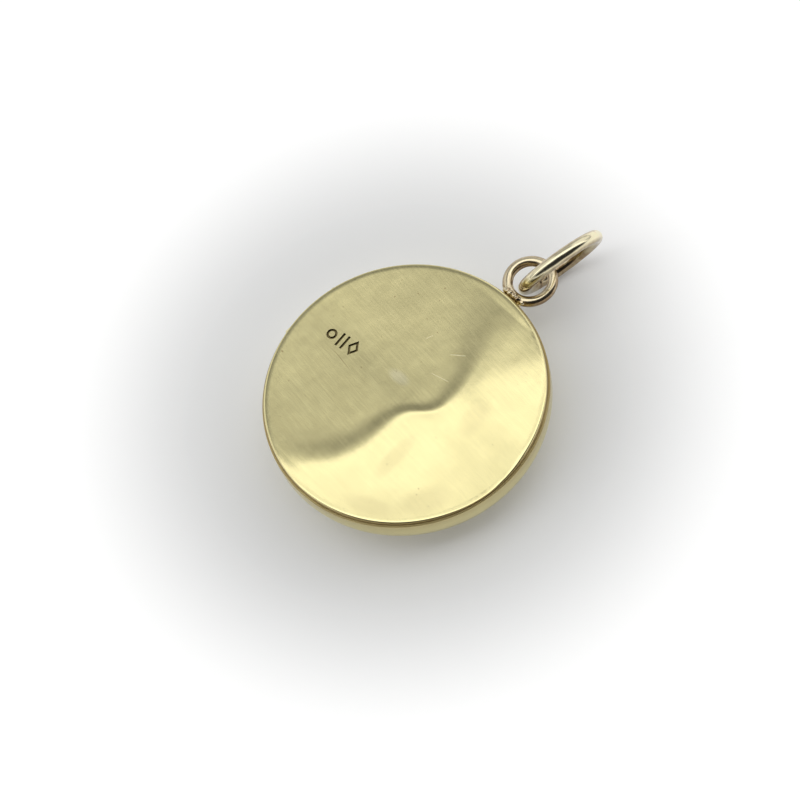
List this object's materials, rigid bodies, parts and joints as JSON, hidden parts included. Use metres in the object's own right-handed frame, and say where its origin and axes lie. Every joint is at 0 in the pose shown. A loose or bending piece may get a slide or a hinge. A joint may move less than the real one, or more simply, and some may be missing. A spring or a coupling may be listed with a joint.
{
  "type": "locket",
  "caption": "Round gold locket with a flat hinged back, shallow domed front, framed picture recesses, soldered bail loop and a free jump ring.",
  "frame": {"origin": "middle of the small flat on the domed front, which the locket rests on when it lies face down", "axes": "+Z out of the flat back, +Y towards the bail loop and jump ring, hinge on the -X side"},
  "size_m": [0.0201, 0.0281, 0.0067],
  "materials": {
    "satin_gold": "satin brushed",
    "polished_gold": "polished",
    "hinge_gold": "satin",
    "frame_gold": "polished",
    "card": "uncoated paper",
    "glazing": "clear"
  },
  "bodies": {
    "case": {"front_cover": "satin_gold", "picture_seat_front": "satin_gold", "picture_card_front": "card", "picture_glazing_front": "glazing", "picture_frame_front": "frame_gold", "hinge_bed": "satin_gold", "hinge_knuckle_case_1": "hinge_gold", "hinge_knuckle_case_2": "hinge_gold", "hinge_knuckle_case_3": "hinge_gold", "hinge_pin": "hinge_gold", "bail_loop": "polished_gold", "bail_solder": "polished_gold"},
    "lid": {"back_cover": "satin_gold", "snap_rim": "satin_gold", "hinge_knuckle_lid_1": "hinge_gold", "hinge_knuckle_lid_2": "hinge_gold", "picture_card_back": "card", "picture_glazing_back": "glazing", "picture_frame_back": "frame_gold"},
    "jump_ring": {"jump_ring": "polished_gold"}
  },
  "joints": [
    {"name": "lid_hinge", "type": "hinge", "parent": "case", "child": "lid", "pos_m": [-0.0096, 0, 0.0035], "axis": [0, -1, 0], "range_deg": [0, 120]},
    {"name": "jump_ring_swing", "type": "hinge", "parent": "case", "child": "jump_ring", "pos_m": [0.00002, 0.0106, 0.00331], "axis": [0.9204, -0.1502, -0.3611], "range_deg": [-30, 28]}
  ]
}
